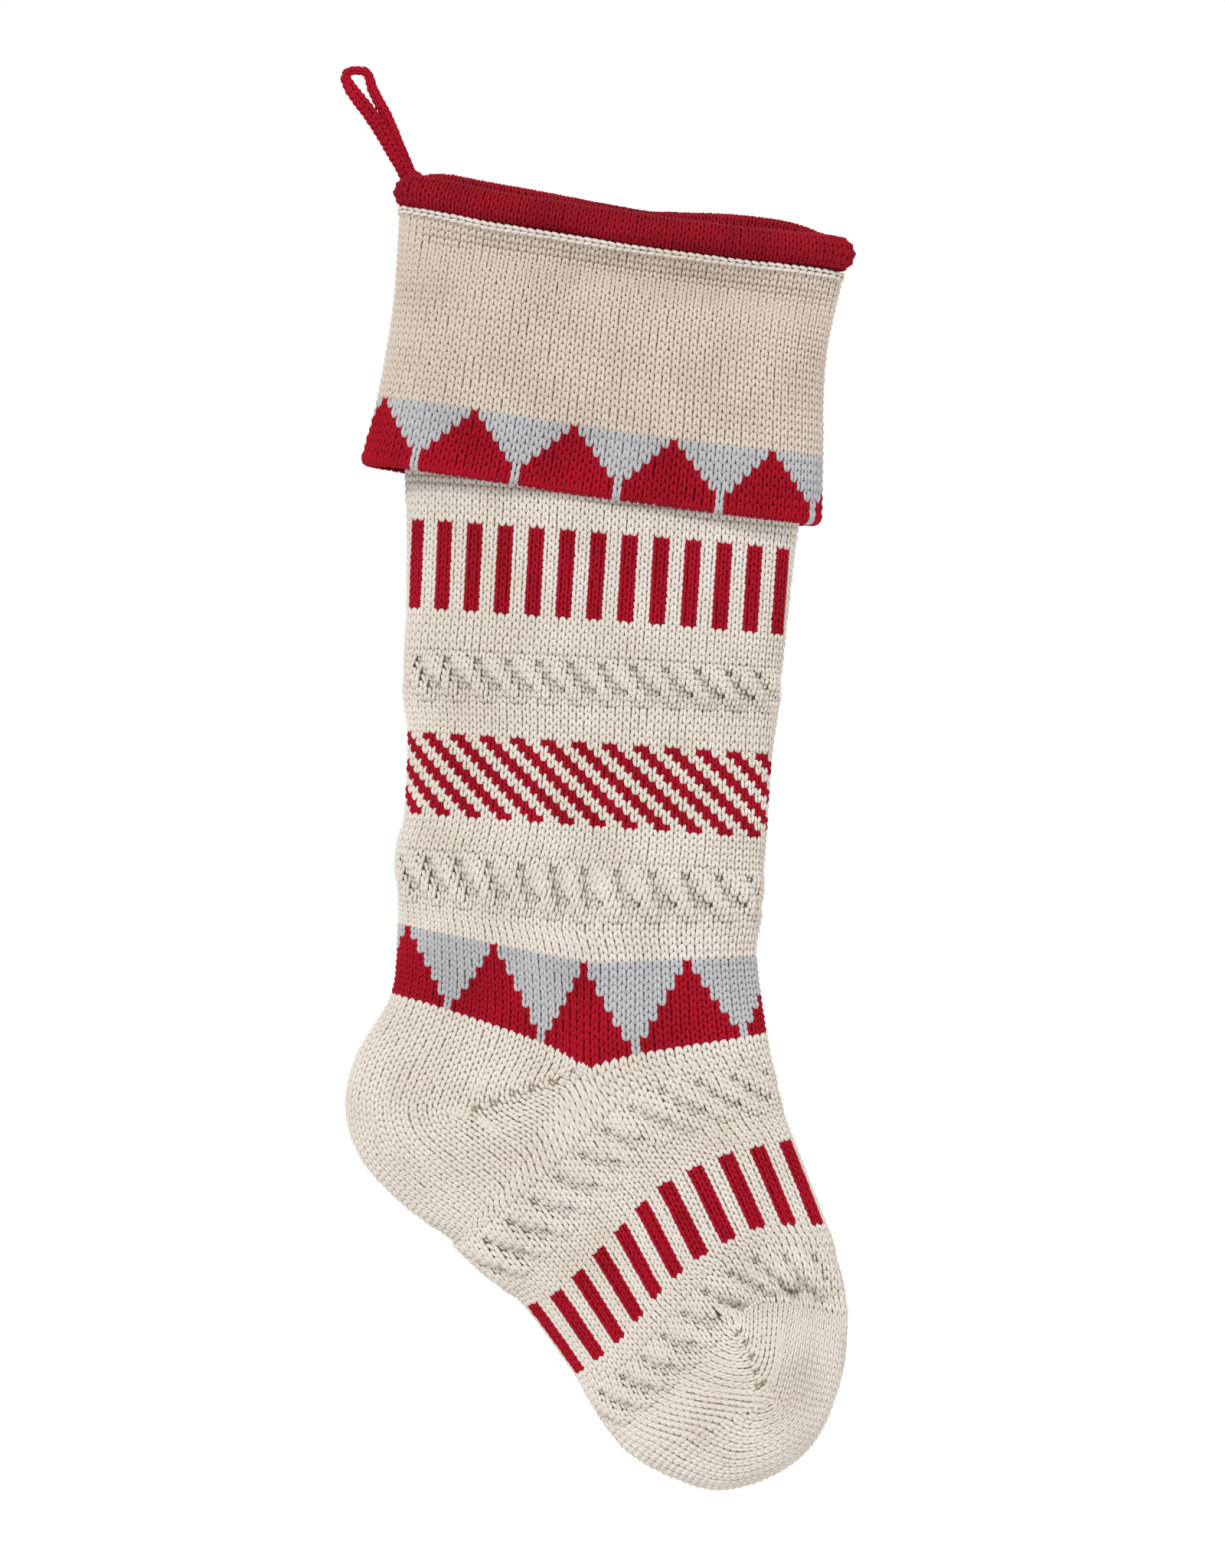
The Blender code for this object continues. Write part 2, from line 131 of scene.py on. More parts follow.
# Knitted sections: node, first level, last level, rows (None where short rows fill the length)
SECTIONS = [
    ("leg_top", "under_cuff", "hem", 9),
    ("leg_top", "hem", "stripes_top", 5),
    ("leg_stripes", "stripes_top", "stripes_end", 13),
    ("leg_plain_a", "stripes_end", "bobbles_a_top", 5),
    ("leg_bobbles_a", "bobbles_a_top", "bobbles_a_end", 8),
    ("leg_plain_b", "bobbles_a_end", "diagonal_top", 5),
    ("leg_diagonal", "diagonal_top", "diagonal_end", 12),
    ("leg_plain_c", "diagonal_end", "bobbles_b_top", 5),
    ("leg_bobbles_b", "bobbles_b_top", "bobbles_b_end", 8),
    ("leg_plain_d", "bobbles_b_end", "zigzag_top", 5),
    ("leg_zigzag", "zigzag_top", "zigzag_end", 12),
    ("heel", "zigzag_end", "heel_to_foot", None),
    ("foot_plain_a", "heel_to_foot", "bobbles_c_top", 4),
    ("foot_bobbles_a", "bobbles_c_top", "bobbles_c_end", 8),
    ("foot_plain_b", "bobbles_c_end", "bars_top", 5),
    ("foot_stripes", "bars_top", "bars_end", 12),
    ("foot_plain_c", "bars_end", "bobbles_d_top", 3),
    ("foot_bobbles_b", "bobbles_d_top", "toe_top", 8),
    ("toe", "toe_top", "graft", None),
]
CUFF_WALES = 59  # on each face
CUFF_LEVELS = {
    "cuff_top": [(17.6, -54.2), (52.0, -61.9), (86.0, -67.8), (118.0, -72.6), (150.0, -76.7), (194.6, -81.2)],
    "cuff_waist": [(15.0, -92.4), (187.8, -115.3)],
    "cuff_band": [(8.6, -129.7), (45.0, -135.8), (86.0, -142.2), (125.0, -148.0), (160.0, -151.8),
                  (186.8, -153.9)],
    "cuff_hem": [(2.0, -154.7), (60.0, -163.9), (120.0, -172.6), (160.0, -177.5), (186.2, -179.3)],
}
CUFF_SECTIONS = [
    ("cuff_panel", "cuff_top", "cuff_waist", 14),
    ("cuff_panel", "cuff_waist", "cuff_band", 13),
    ("cuff_zigzag", "cuff_band", "cuff_hem", 7),
]


# Lines -------------------------------------------


def smooth_line(points, steps=10):
    """A Catmull-Rom line through points."""
    points = np.asarray(points, float)
    ends = np.vstack([2 * points[0] - points[1], points, 2 * points[-1] - points[-2]])
    t = (np.arange(1, steps + 1) / steps)[:, None]
    line = [points[:1]]
    for a, b, c, d in zip(ends, ends[1:], ends[2:], ends[3:]):
        curve = 2 * b + (c - a) * t + (2 * a - 5 * b + 4 * c - d) * t**2 + (3 * b - a - 3 * c + d) * t**3
        line.append(0.5 * curve)
    return np.vstack(line)


def ramp(value):
    """A smooth step from 0 to 1."""
    value = np.clip(value, 0, 1)
    return value * value * (3 - 2 * value)


def unit(vectors):
    return vectors / np.linalg.norm(vectors, axis=-1, keepdims=True)


def edge_shares(count):
    """Shares from 0 to 1 that lie closer together at both ends."""
    return 0.5 * (1 - np.cos(np.linspace(0, math.pi, count)))


def in_space(flat, depth):
    """Points (x, z) with their depth as y."""
    return np.stack([flat[..., 0], depth, flat[..., 1]], axis=-1)


def lengths_of(line):
    """The length of a line up to each of its points."""
    return np.concatenate([[0], np.cumsum(np.linalg.norm(np.diff(line, axis=0), axis=1))])


def at_lengths(line, lengths, wanted):
    """Points of a line at the wanted lengths."""
    return np.stack([np.interp(wanted, lengths, line[:, k]) for k in range(line.shape[1])], axis=-1)


def resampled(line, shares):
    """Points of a line at shares of its length."""
    lengths = lengths_of(line)
    return at_lengths(line, lengths, np.asarray(shares) * lengths[-1])


BATCH = 4000  # points measured at once


class Skin:
    """The outer surface of a softly filled flat form: an outline in the XZ plane with a rounded edge."""

    def __init__(self, outlines, half_depth):
        starts, ends, normals = [], [], []
        for outline in outlines:
            edges = np.diff(outline, axis=0)
            turned = unit(np.stack([-edges[:, 1], edges[:, 0]], axis=1))
            corner = unit(np.vstack([turned[:1], turned[:-1] + turned[1:], turned[-1:]]))
            starts.append(outline[:-1])
            ends.append(outline[1:])
            normals.append(np.stack([corner[:-1], corner[1:]], axis=1))
        self.a, self.b, self.normals = np.vstack(starts), np.vstack(ends), np.vstack(normals)
        self.half_depth = half_depth

    def nearest(self, points):
        """Distance inside the outline and the direction away from it, for each point."""
        span = self.b - self.a
        size = (span**2).sum(1)
        distance, inward = np.empty(len(points)), np.empty((len(points), 2))
        for low in range(0, len(points), BATCH):
            p = points[low:low + BATCH, None]
            t = np.clip(((p - self.a) * span).sum(2) / size, 0, 1)
            away = p - (self.a + t[..., None] * span)
            reach = np.linalg.norm(away, axis=2)
            k = reach.argmin(1)
            rows = np.arange(len(k))
            first, last = self.normals[k, 0], self.normals[k, 1]
            mixed = unit(first + (last - first) * t[rows, k][:, None])
            outside = (away[rows, k] * mixed).sum(1) < 0
            distance[low:low + BATCH] = np.where(outside, -reach[rows, k], reach[rows, k])
            inward[low:low + BATCH] = mixed
        return distance, inward

    def surface(self, points):
        """Depth of the skin at each (x, z) and its outward normal on the back face."""
        distance, inward = self.nearest(points)
        share = 1 - np.clip(distance / EDGE_ROUNDING, 0, 1)
        depth = self.half_depth * np.sqrt(np.maximum(1 - share**2, 0))
        full = fullness(points)
        step = 0.3 * MM
        growth = np.stack([fullness(points + shift) - full for shift in step * np.eye(2)], axis=1) / step
        rounding = self.half_depth**2 * share / EDGE_ROUNDING
        slope = (full * rounding)[:, None] * inward + depth[:, None] ** 2 * growth
        normal = unit(np.stack([-slope[:, 0], np.maximum(depth, 0.01 * MM), -slope[:, 1]], axis=1))
        return depth * full, normal


def rim_share(x):
    """How far from the rim's left corner to its right one."""
    return np.clip((x - RIM_LEFT[0]) / (RIM_RIGHT[0] - RIM_LEFT[0]), 0, 1)


def from_table(table, share):
    """A smooth reading of a table of (share, value in mm)."""
    shares, values = smooth_line(np.array(table, float)).T
    return np.interp(share, shares, values) * MM


def rim_height(x):
    """Height of the rim's front: a slanted line whose middle sags."""
    share = rim_share(x)
    return RIM_LEFT[1] + (RIM_RIGHT[1] - RIM_LEFT[1]) * share + from_table(RIM_SAG, share)


def rim_back_lift(x):
    """How far the back of the mouth stands above its front: two soft rises with a pinch between."""
    return from_table(RIM_BACK_LIFT, rim_share(x))


def back_lift(x, z):
    """How far the back face is drawn up here, fading out below the mouth."""
    return rim_back_lift(x) * np.clip(1 - (rim_height(x) - z) / BACK_LIFT_FADE, 0, 1)


# Soft swellings (x, z, radius, lift) and creases (x, z to x, z, half width, lift) of the knitting, in mm
SWELLINGS = [
    (172, -512, 15, 7.5), (168, -516, 30, 5.0), (142, -474, 13, 3.0), (20, -418, 24, 2.5),
    (120, -545, 16, 1.5), (60, -445, 18, 2.0), (60, -100, 34, 1.6), (140, -128, 34, 1.6),
    (150, -440, 16, 1.5), (95, -375, 26, -2.0), (40, -300, 26, 1.4), (130, -230, 30, 1.4),
    (75, -205, 26, -1.2), (120, -330, 24, 1.5),
]
CREASES = [
    (150, -496, 176, -489, 4.5, -5.5), (176, -489, 200, -499, 4.5, -5.0), (158, -484, 198, -489, 9.0, -4.0),
    (186, -496, 188, -532, 8.0, -5.5), (30, -68, 188, -92.5, 7.5, -6.8), (92, -402, 50, -417, 4.0, -2.0),
    (98, -404, 128, -425, 7.0, -1.6), (100, -412, 112, -450, 6.0, -1.2), (154, -504, 164, -530, 3.5, -1.6),
    (22, -66, 52, -96, 5.0, 1.0), (32, -62, 70, -90, 5.0, 0.8), (20, -78, 40, -112, 6.0, 1.0),
]


def lazy_waves(x, z):
    """Slow unevenness of the knitting, as a share of its depth."""
    broad = 0.035 * np.sin(x / 21 + 0.6) * np.sin(z / 33)
    slanted = 0.03 * np.sin((x + 0.8 * z) / 17)
    return broad + slanted + 0.02 * np.sin((z - x) / 9)


def fullness(points):
    """The knitting's depth as a share of a smooth form's: waves, swellings, creases and the narrow mouth."""
    x, z = points[:, 0] / MM, points[:, 1] / MM
    full = 1 + lazy_waves(x, z)
    for cx, cz, radius, lift in SWELLINGS:
        full += lift * MM / LEG_HALF_DEPTH * np.exp(-((x - cx) ** 2 + (z - cz) ** 2) / radius**2)
    for ax, az, bx, bz, width, lift in CREASES:
        t = ((x - ax) * (bx - ax) + (z - az) * (bz - az)) / ((bx - ax) ** 2 + (bz - az) ** 2)
        t = np.clip(t, 0, 1)
        away = (x - ax - t * (bx - ax)) ** 2 + (z - az - t * (bz - az)) ** 2
        full += lift * MM / LEG_HALF_DEPTH * np.exp(-away / width**2)
    below = rim_height(points[:, 0]) - points[:, 1]
    return full * (MOUTH_DEPTH + (1 - MOUTH_DEPTH) * ramp(below / MOUTH_TAPER))


# Wales -------------------------------------------


def halves(name):
    """A level's heel side, from its edge to the gore, and its instep side, from there to the other edge."""
    points = np.array(LEVELS[name]) * MM
    if name in GORE_POINT:
        k = GORE_POINT[name]
        instep = points[k:] if k < len(points) - 1 else np.array(LEVELS["zigzag_end"][3:]) * MM
        return smooth_line(points[:k + 1]), smooth_line(instep)
    line = smooth_line(points)
    instep_shares = GORE_SHARE + (1 - GORE_SHARE) * FACE_SHARES
    return resampled(line, GORE_SHARE * FACE_SHARES), resampled(line, instep_shares)


def fan_rays(edge, gore_end):
    """Lines from the outer ends of a short-row fan to its gore's end."""
    return [np.linspace(np.array(p) * MM, np.array(gore_end) * MM, 20) for p in edge]


def fan_levels(name, edge, gore_end):
    return [(name, ray, gore_end, DECREASES[name]) for ray in fan_rays(edge, gore_end)]


def heel_side_levels():
    """(name, line from the edge inwards, end of the gore it stops at or None, wales lost)."""
    levels = []
    for name in LEVELS:
        levels.append((name, halves(name)[0], None, DECREASES.get(name, 0.0)))
        if name == "zigzag_end":
            levels += fan_levels("heel", HEEL_EDGE, HEEL_GORE_END)
    levels += fan_levels("toe", TOE_EDGE, TOE_GORE_END)
    levels.append(("graft", halves("toe_top")[1][::-1], None, DECREASES["graft"]))
    return levels


def instep_side_levels():
    """The same for the instep side, which has no gores."""
    names = [name for name in LEVELS if name != "heel_to_foot"]
    return [(name, halves(name)[1][::-1], None, DECREASES.get(name, 0.0)) for name in names]


def leg_outline():
    """The whole outline from the mouth down the heel side, round the toe and up the instep side."""
    heel = [level[1][0] for level in heel_side_levels()]
    instep = [level[1][0] for level in instep_side_levels()][:-1]
    return smooth_line(heel + instep[::-1], 8)


def spread(line, skin):
    """A level's points at even steps of length over the skin, so that no stitch is squeezed at the edge."""
    flat = resampled(line, edge_shares(241))
    depth, _ = skin.surface(flat)
    return flat, lengths_of(in_space(flat, depth))


class Wale:
    """One column of stitches: its path over the skin and where along it each level lies."""

    def __init__(self, points, names, lost, skin, width):
        path = smooth_line(points, WALE_STEPS)
        depth, self.normal = skin.surface(path)
        self.solid = in_space(path, depth)
        self.lengths = lengths_of(self.solid)
        self.marks = self.lengths[::WALE_STEPS]
        self.names, self.lost, self.width = names, np.array(lost), np.array(width)

    def mark(self, name):
        return self.names.index(name)

    def gore_mark(self, first):
        """Where a short-row section that starts at this level turns on its gore, if the wale crosses it."""
        fan = {"zigzag_end": "heel", "toe_top": "toe"}.get(first)
        if fan is None or self.names.count(fan) != 1:
            return None
        return self.marks[self.mark(fan)]


def wales_of_side(levels, skin, count, first_index, step):
    """The wales of one side, each index counted from the outer edge inwards."""
    prepared = [(*level, *spread(level[1], skin)) for level in levels]
    made = []
    for k in range(count):
        points, names, lost, width = [], [], [], []
        for name, _, gore_end, less, flat, lengths in prepared:
            left = count - less
            share = (k + 0.5 - less) / left
            if gore_end is not None and share > GORE_END:
                if names[-1] == name:
                    continue
                end, start = np.array(gore_end) * MM, gore_start(prepared, name)
                points.append(end + (start - end) * (share - GORE_END) / (1 - GORE_END))
                gap = np.linalg.norm(start - end) / ((1 - GORE_END) * left)
                width.append(max(0.9 * gap, width[-1]))
            else:
                taken = 1.0 if gore_end is None else GORE_END
                points.append(at_lengths(flat, lengths, np.clip(share / taken, 0, 1) * lengths[-1]))
                width.append(lengths[-1] / (left * taken))
            names.append(name)
            lost.append(less - (k + 0.5))
        made.append((first_index + step * k, Wale(np.array(points), names, lost, skin, width)))
    return made


def gore_start(prepared, name):
    """Where a gore starts: at the inner end of the level before its fan."""
    before = {"heel": "zigzag_end", "toe": "toe_top"}[name]
    return next(level[1][-1] for level in prepared if level[0] == before)


# Patterns ----------------------------------------


TRIANGLE_PITCH, TRIANGLE_HALF = 12, 5  # wales from one point to the next, and on each side of its base


def in_triangle(wale, row, centre, rows_per_step):
    """Whether a stitch lies in a zigzag band's triangle, which widens by a wale on each side at each step."""
    half = min(row // rows_per_step, TRIANGLE_HALF)
    offset = (wale - centre + TRIANGLE_PITCH // 2) % TRIANGLE_PITCH - TRIANGLE_PITCH // 2
    return abs(offset) <= half


def in_bar(wale, first):
    """Whether a wale lies in a bar: they are two wales wide and two apart."""
    return (wale - first) % 4 < 2


def yarn(node, wale, row):
    """The yarn that a stitch is worked in."""
    if node in ("leg_stripes", "foot_stripes"):
        return RED if in_bar(wale, 2) else CREAM
    if node == "leg_diagonal":
        return RED if in_bar(wale - row, 1) else CREAM
    if node == "leg_zigzag":
        return RED if in_triangle(wale, row, 5, 2) else GREY
    if node == "cuff_zigzag":
        return RED if in_triangle(wale, row, 2, 1) else GREY
    if node == "cuff_panel":
        return SHADED_CUFF_CREAM
    return CREAM


# Leaves: their width in wales, their slant in wales a row, and their height
LEAF_WALES, LEAF_SLANT, LEAF_LIFT = 4, 0.5, 3.8 * MM
LEAF_START, LEAF_ROWS, LEAF_GROOVE = 0.2, 7.6, 0.25  # the groove's depth is a share of the lift
FOOT_LEAVES = 0.7  # height of the foot's leaves, as a share of the leg's
EDGE_LEAVES, EDGE_DEPTH = 0.12, 11 * MM  # share of a leaf's height left at the face's edge, and how far in
EYELET_DIP, EYELET_SIZE = 0.7 * MM, 0.8
LEAF_TILT, LEAF_SWELL = 0.8, 0.18  # how much stitches turn with a leaf's slope and swell at its top
PROBE = 0.3  # of a stitch, either way, over which a leaf's slope is measured


def leaf_share(wale, row):
    """How far across a slanted leaf a stitch lies, from its left groove to its right one."""
    return ((wale - LEAF_SLANT * (row - 2.0)) % LEAF_WALES) / LEAF_WALES


def leaf_height(wale, row):
    """Height of a band of puffed leaves, which slant to the right as they go down."""
    across = leaf_share(wale, row)
    belly = np.sin(math.pi * across**1.35) ** 0.75
    band = np.sin(math.pi * np.clip((row - LEAF_START) / LEAF_ROWS, 0, 1)) ** 0.6
    pinch = ramp((row - 3.4) / 1.6) * ramp((0.52 - across) / 0.3)
    return LEAF_LIFT * band * (belly * (1 - 0.7 * pinch) - LEAF_GROOVE * (1 - belly))


def is_eyelet(wale, row):
    """Whether a leaf's groove opens into a hole here."""
    across = leaf_share(wale, row)
    at_groove = across < 0.13 and 1 < row < 3.5
    at_pinch = 0.3 < across < 0.5 and 5 < row < 6
    return at_groove or at_pinch


# Stitches ----------------------------------------


class Stitches:
    """Stitches gathered for one piece, as arrays made at the end."""

    def __init__(self):
        self.rows = []

    def add(self, centre, down, normal, width, height, colour, size=1.0):
        """One stitch; size is the thickness of its yarn, as a share of the usual one."""
        self.rows.append((*centre, *down, *normal, width, height, colour, size))

    def arrays(self):
        return np.array(self.rows, float)


# One arm of a stitch, in shares of a wale's width and, along the wale, of a row's height
YARN_RADIUS, YARN_FLATNESS = 0.27, 0.9
UNEVEN = (0.05, 0.03, 0.02)  # how much the arms vary in lean, length and lift
SIZE_WIDENS, SIZE_LENGTHENS = 0.12, 0.2
ARM_OUT, ARM_RUN_IN, ARM_START, ARM_LENGTH = 0.395, 0.275, -0.80, 1.54
ARM_ARCH, ARM_SINK = 0.30, 0.20
SEEN = []  # (places, yarns) of every stitch made, which the lining takes its painted-shade colours from
RING_SHARES = (0.13, 0.5, 0.87)
RING_SIZES = (0.84, 1.0, 0.84)
SIDES = 5


def lobe_template():
    """Corner rows of one arm of a stitch, as (share along, ring size, cos, sin), and its faces."""
    corners = [(0.0, 0.0, 0.0, 0.0), (1.0, 0.0, 0.0, 0.0)]
    for share, size in zip(RING_SHARES, RING_SIZES):
        for k in range(SIDES):
            turn = 2 * math.pi * (k + 0.5) / SIDES
            corners.append((share, size, math.cos(turn), math.sin(turn)))
    faces = []
    for k in range(SIDES):
        n = (k + 1) % SIDES
        faces.append((0, 2 + n, 2 + k))
        last = 2 + SIDES * (len(RING_SHARES) - 1)
        faces.append((1, last + k, last + n))
        for ring in range(len(RING_SHARES) - 1):
            base = 2 + SIDES * ring
            faces.append((base + k, base + n, base + SIDES + n, base + SIDES + k))
    return np.array(corners), faces


def stitch_mesh(name, stitches, materials):
    """A mesh of V-shaped stitches, two curved arms each."""
    data = stitches.arrays()
    corners, faces = lobe_template()
    centre, down, normal = data[:, 0:3], data[:, 3:6], data[:, 6:9]
    width, height, colour, size = data[:, 9:10], data[:, 10:11], data[:, 11], data[:, 12:13]
    across = np.cross(down, normal)
    t, ring, cos, sin = (corners[None, :, k] for k in range(4))
    arch = np.sin(math.pi * t) ** 0.7
    jitter = RANDOM.normal(0, 1, (len(data), 2, 3))
    vertices = []
    for arm, side in enumerate((-1, 1)):
        lean, stretch, lift = (UNEVEN[k] * jitter[:, arm, k:k + 1] for k in range(3))
        x = side * (ARM_OUT - (ARM_RUN_IN - lean) * t) * width * (1 + SIZE_WIDENS * (size - 1))
        y = (ARM_START + ARM_LENGTH * t) * height * (1 + SIZE_LENGTHENS * (size - 1)) * (1 + stretch)
        z = (ARM_ARCH * arch - ARM_SINK + lift) * width
        dx, dy = -ARM_RUN_IN * side * width, ARM_LENGTH * height
        length = np.hypot(dx, dy)
        thick = YARN_RADIUS * width * size
        x = x + thick * ring * cos * dy / length
        y = y - thick * ring * cos * dx / length
        z = z + YARN_FLATNESS * thick * ring * sin
        place = centre[:, None] + x[..., None] * across[:, None]
        vertices.append(place + y[..., None] * down[:, None] + z[..., None] * normal[:, None])
    vertices = np.stack(vertices, axis=1).reshape(-1, 3)
    SEEN.append((centre, colour.astype(int)))
    return mesh_from_lobes(name, vertices, len(corners), faces, np.repeat(colour, 2), materials)


def mesh_from_lobes(name, vertices, per_lobe, faces, colours, materials):
    """Builds one mesh from many copies of a small face pattern."""
    lobes = len(vertices) // per_lobe
    sizes = np.array([len(f) for f in faces])
    flat = np.array([v for f in faces for v in f])
    loops = (np.arange(lobes)[:, None] * per_lobe + flat[None, :]).ravel()
    starts = np.concatenate([[0], np.cumsum(np.tile(sizes, lobes))[:-1]])
    mesh = bpy.data.meshes.new(name)
    mesh.vertices.add(len(vertices))
    mesh.vertices.foreach_set("co", vertices.astype(np.float32).ravel())
    mesh.loops.add(len(loops))
    mesh.loops.foreach_set("vertex_index", loops.astype(np.int32))
    mesh.polygons.add(len(starts))
    mesh.polygons.foreach_set("loop_start", starts.astype(np.int32))
    mesh.polygons.foreach_set("material_index", np.repeat(colours, len(faces)).astype(np.int32))
    mesh.update(calc_edges=True)
    mesh.shade_smooth()
    return piece_of(mesh, materials)


def piece_of(mesh, materials):
    """A new object with this mesh, its name and these materials."""
    for material in materials:
        mesh.materials.append(material)
    piece = bpy.data.objects.new(mesh.name, mesh)
    bpy.context.scene.collection.objects.link(piece)
    return piece


GORE_SIZES, GORE_DIP = (0.7, 1.15), 0.9 * MM  # yarn of the stitches along a gore, thin ones sunk by the dip
GORE_REACH, ROW_PROBE = 0.6, 0.4  # of a row: how near a gore is, and over what a wale's direction is measured


def on_leaf(place, n, d, wale, row, width, height, share):
    """A stitch lifted and tilted onto its band's leaves: its place, normal, direction down and size."""
    free = share * (EDGE_LEAVES + (1 - EDGE_LEAVES) * ramp(abs(place[1]) / EDGE_DEPTH))
    hole = is_eyelet(wale, row)
    lift = free * (leaf_height(wale, row) - (EYELET_DIP if hole else 0.0))
    turning = LEAF_TILT * free / (2 * PROBE)
    rise_down = turning * (leaf_height(wale, row + PROBE) - leaf_height(wale, row - PROBE)) / height
    rise_across = turning * (leaf_height(wale + PROBE, row) - leaf_height(wale - PROBE, row)) / width
    right = np.cross(d, n)
    right *= np.sign(right[0]) or 1.0
    tilted = unit(n - rise_down * d - rise_across * right)
    size = EYELET_SIZE if hole else 1.0 + LEAF_SWELL * max(lift, 0) / LEAF_LIFT
    return place + n * lift, tilted, unit(d - tilted * (d @ tilted)), size


def knit_section(stitches, node, wales, first, last, rows):
    """Adds a section's stitches to a piece: rows between two levels of each wale, on both faces."""
    for index, wale in wales:
        a, b = wale.mark(first), wale.mark(last)
        start, end = wale.marks[a], wale.marks[b]
        count = rows or max(2, round((end - start) / ROW))
        height = (end - start) / count
        middle = start + (np.arange(count) + 0.5) * height
        lost = np.interp(middle, wale.marks, wale.lost)
        width = np.interp(middle, wale.marks, wale.width)
        here = at_lengths(wale.solid, wale.lengths, middle)
        ahead = at_lengths(wale.solid, wale.lengths, middle + ROW_PROBE * height)
        behind = at_lengths(wale.solid, wale.lengths, middle - ROW_PROBE * height)
        normal = at_lengths(wale.normal, wale.lengths, middle)
        down = unit(ahead - behind)
        gore = wale.gore_mark(first)
        for face in (FRONT, BACK):
            turn = np.array([1.0, face, 1.0])
            for row in range(count):
                if lost[row] > DROPPED:
                    continue
                place, n, d, size = here[row] * turn, normal[row] * turn, down[row] * turn, 1.0
                if face == BACK:
                    place[2] += back_lift(place[0], place[2])
                if "bobbles" in node:
                    share = FOOT_LEAVES if "foot" in node else 1.0
                    place, n, d, size = on_leaf(place, n, d, index, row + 0.5, width[row], height, share)
                if gore is not None and abs(middle[row] - gore) < GORE_REACH * height:
                    size = GORE_SIZES[index % 2]
                    place = place - n * (0.0 if index % 2 else GORE_DIP)
                stitches.add(place, d, n, width[row], height, yarn(node, index, row), size)


# Backing -----------------------------------------


# The linings are coloured in painted shade, so that the gaps between stitches look dark
LINING_WALL, CUFF_LINING_WALL, LINING_INSET = 1.4 * MM, 2.6 * MM, 0.7 * MM


def lining_mesh(name, grid, thickness, closed=True):
    """A thin wall inwards from a grid of points, rows by columns, in painted shade: darker copies of the
    yarns that cover it.
    """
    rows, columns = grid.shape[:2]
    wrap = columns if closed else columns - 1
    faces = []
    for r in range(rows - 1):
        for c in range(wrap):
            n = (c + 1) % columns
            faces.append((r * columns + c, (r + 1) * columns + c, (r + 1) * columns + n, r * columns + n))
    mesh = bpy.data.meshes.new(name)
    mesh.from_pydata(grid.reshape(-1, 3).tolist(), [], faces)
    piece = piece_of(mesh, SHADES)
    weld = piece.modifiers.new("weld", "WELD")
    weld.merge_threshold = 0.02 * MM
    wall = piece.modifiers.new("wall", "SOLIDIFY")
    wall.thickness = thickness
    wall.offset = -1.0
    apply_modifiers(piece)
    shade_like_stitches(piece.data)
    piece.data.shade_smooth()
    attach(piece, "stocking")
    return piece


def shade_like_stitches(mesh):
    """Gives each face the painted-shade copy of the nearest stitch's yarn."""
    places = np.concatenate([places for places, _ in SEEN])
    yarns = np.concatenate([yarns for _, yarns in SEEN])
    tree = KDTree(len(places))
    for k, place in enumerate(places):
        tree.insert(place, k)
    tree.balance()
    for polygon in mesh.polygons:
        polygon.material_index = int(yarns[tree.find(polygon.center)[1]])


def apply_modifiers(piece):
    """Replaces the mesh by the one that its modifiers make."""
    bpy.context.view_layer.update()
    evaluated = piece.evaluated_get(bpy.context.evaluated_depsgraph_get())
    mesh = bpy.data.meshes.new_from_object(evaluated)
    old = piece.data
    piece.modifiers.clear()
    piece.data = mesh
    mesh.name = old.name
    bpy.data.meshes.remove(old)


def inside_skin(flat, skin):
    """Points on the back face, a little inside its skin, for rows of (x, z)."""
    depth, normal = skin.surface(flat.reshape(-1, 2))
    points = in_space(flat, depth.reshape(flat.shape[:2]))
    return points - normal.reshape(points.shape) * LINING_INSET


def tube_rings(lines, skin):
    """Closed rings over both faces through levels given as whole lines, from one edge to the other."""
    columns = 70
    anchors = np.array([resampled(line, edge_shares(columns)) for line in lines])
    outer = inside_skin(np.stack([smooth_line(anchors[:, k], 9) for k in range(columns)], axis=1), skin)
    outer[:, [0, -1], 1] = 0
    front = outer * np.array([1.0, -1.0, 1.0])
    outer[..., 2] += back_lift(outer[..., 0], outer[..., 2])
    return np.concatenate([front, outer[:, -2:0:-1]], axis=1)


def cup_grid(first, edge, gore_end, last, skin):
    """Points of a short-row cup, from a half level round the gore's end to another half level."""
    columns, rows = 40, 64
    shares = 1 - np.cos(np.linspace(0, math.pi / 2, columns))
    above, below = resampled(first, shares), resampled(last, shares)
    rays = fan_rays(edge, gore_end)
    lines = []
    for k, share in enumerate(shares):
        if share <= GORE_END:
            between = [resampled(ray, [share / GORE_END])[0] for ray in rays]
        else:
            end = rays[0][-1]
            between = [end + (first[-1] - end) * (share - GORE_END) / (1 - GORE_END)]
        lines.append(resampled(smooth_line([above[k], *between, below[k]]), np.linspace(0, 1, rows)))
    outer = inside_skin(np.stack(lines, axis=1), skin)
    outer[:, 0, 1] = 0
    front = outer * np.array([1.0, -1.0, 1.0])
    return np.concatenate([outer[:, :0:-1], front], axis=1)


# Materials ---------------------------------------


def set_inputs(node, values):
    for name, value in values.items():
        node.inputs[name].default_value = value
    return node


def noise(nodes, scale, detail, roughness):
    texture = nodes.new("ShaderNodeTexNoise")
    return set_inputs(texture, {"Scale": scale, "Detail": detail, "Roughness": roughness})


def tones(nodes, low, low_colour, high, high_colour):
    """A colour ramp from one colour at its low position to another at its high one."""
    node = nodes.new("ShaderNodeValToRGB")
    for element, position, colour in zip(node.color_ramp.elements, (low, high), (low_colour, high_colour)):
        element.position = position
        element.color = (*colour, 1)
    return node


